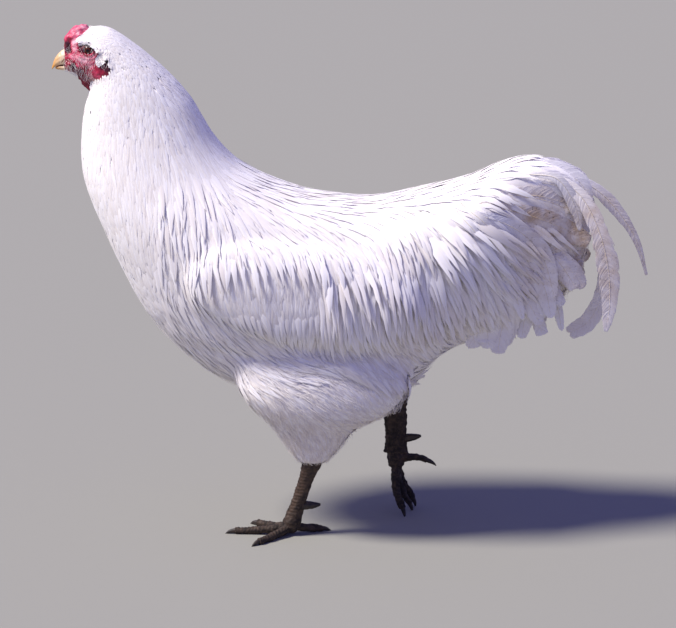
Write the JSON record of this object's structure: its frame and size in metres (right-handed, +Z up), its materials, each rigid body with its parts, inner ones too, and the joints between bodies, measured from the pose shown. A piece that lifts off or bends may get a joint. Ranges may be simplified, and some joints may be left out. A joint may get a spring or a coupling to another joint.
{
  "type": "rooster",
  "caption": "Still, life-size model of a white rooster in mid-stride, with a low cushion comb, a feathered body and an arched tail of sickle feathers",
  "frame": {"origin": "middle of the bird's box at floor level, under its body", "axes": "the bird faces -X, +Z is up, its left side is at -Y; its longest side lies along X"},
  "size_m": [0.6616, 0.2098, 0.58],
  "materials": {
    "plumage": "white feathers, matt, with a soft satin sheen, faintly cream and dirty at the tail's base",
    "comb_flesh": "bare red skin of comb, face, lobes and wattles, pebbled and slightly moist",
    "bill_horn": "yellow horn, darker along the bite, half gloss",
    "eye": "dark red-brown iris and black pupil under a clear wet cornea",
    "leg_scales": "horny leg scales under dark mud",
    "claw_horn": "dark horn, muddy"
  },
  "bodies": {
    "root": {"head": "plumage", "neck": "plumage", "trunk": "plumage", "tail": "plumage", "wing_left": "plumage", "wing_right": "plumage", "thigh_left": "plumage", "thigh_right": "plumage", "sickle_left": "plumage", "sickle_right": "plumage", "sickle_outer": "plumage", "comb": "comb_flesh", "wattle_left": "comb_flesh", "wattle_right": "comb_flesh", "ear_lobe_left": "comb_flesh", "ear_lobe_right": "comb_flesh", "bill_upper": "bill_horn", "bill_lower": "bill_horn", "eye_left": "eye", "eye_right": "eye", "shank_left": "leg_scales", "shank_right": "leg_scales", "foot_left": "leg_scales", "foot_right": "leg_scales", "spur_left": "claw_horn", "spur_right": "claw_horn", "claw_left_middle": "claw_horn", "claw_left_inner": "claw_horn", "claw_left_outer": "claw_horn", "claw_left_hind": "claw_horn", "claw_right_middle": "claw_horn", "claw_right_inner": "claw_horn", "claw_right_outer": "claw_horn", "claw_right_hind": "claw_horn"}
  },
  "joints": []
}
